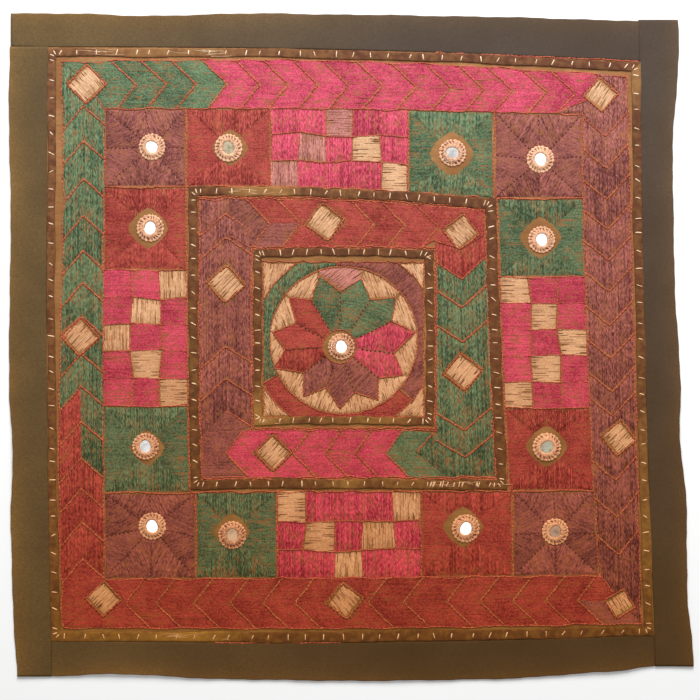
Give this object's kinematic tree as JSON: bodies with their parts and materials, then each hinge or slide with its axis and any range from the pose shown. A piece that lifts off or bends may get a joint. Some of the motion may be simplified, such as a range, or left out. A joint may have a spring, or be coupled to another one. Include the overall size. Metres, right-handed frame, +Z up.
{
  "type": "embroidered tablecloth",
  "caption": "Flat square tablecloth of tan cotton covered with silk-like embroidery in nested squares, with sewn-on mirrors, couched dark strips and a dark cotton border.",
  "frame": {"origin": "middle of the cloth's outline, on its underside", "axes": "+Z up out of the embroidered face, +Y towards the cloth's top edge as shown, +X to its right edge"},
  "size_m": [0.6855, 0.6683, 0.0041],
  "materials": {
    "ground_cotton": "plain-woven tan cotton",
    "border_cotton": "faded charcoal-brown plain-woven cotton, folded",
    "strip_cotton": "narrow folded dark brown cotton, worn",
    "silvered_glass": "thin hand-cut silvered glass",
    "ring_thread": "cream cotton thread, looped",
    "green_floss": "untwisted green floss with a soft sheen",
    "pink_floss": "untwisted hot pink floss with a soft sheen",
    "red_floss": "untwisted madder red floss with a soft sheen",
    "plum_floss": "untwisted faded plum floss with a soft sheen",
    "cream_floss": "untwisted cream floss",
    "rust_thread": "fine rust-red outline thread",
    "cream_thread": "cream sewing thread"
  },
  "bodies": {
    "root": {"ground_cloth": "ground_cotton", "border_top": "border_cotton", "border_right": "border_cotton", "border_bottom": "border_cotton", "border_left": "border_cotton", "couched_strip_outer": "strip_cotton", "couched_strip_middle": "strip_cotton", "couched_strip_inner": "strip_cotton", "mirror_01": "silvered_glass", "mirror_02": "silvered_glass", "mirror_03": "silvered_glass", "mirror_04": "silvered_glass", "mirror_05": "silvered_glass", "mirror_06": "silvered_glass", "mirror_07": "silvered_glass", "mirror_08": "silvered_glass", "mirror_09": "silvered_glass", "mirror_10": "silvered_glass", "mirror_11": "silvered_glass", "mirror_12": "silvered_glass", "mirror_13": "silvered_glass", "thread_ring_01": "ring_thread", "thread_ring_02": "ring_thread", "thread_ring_03": "ring_thread", "thread_ring_04": "ring_thread", "thread_ring_05": "ring_thread", "thread_ring_06": "ring_thread", "thread_ring_07": "ring_thread", "thread_ring_08": "ring_thread", "thread_ring_09": "ring_thread", "thread_ring_10": "ring_thread", "thread_ring_11": "ring_thread", "thread_ring_12": "ring_thread", "thread_ring_13": "ring_thread"}
  },
  "joints": []
}
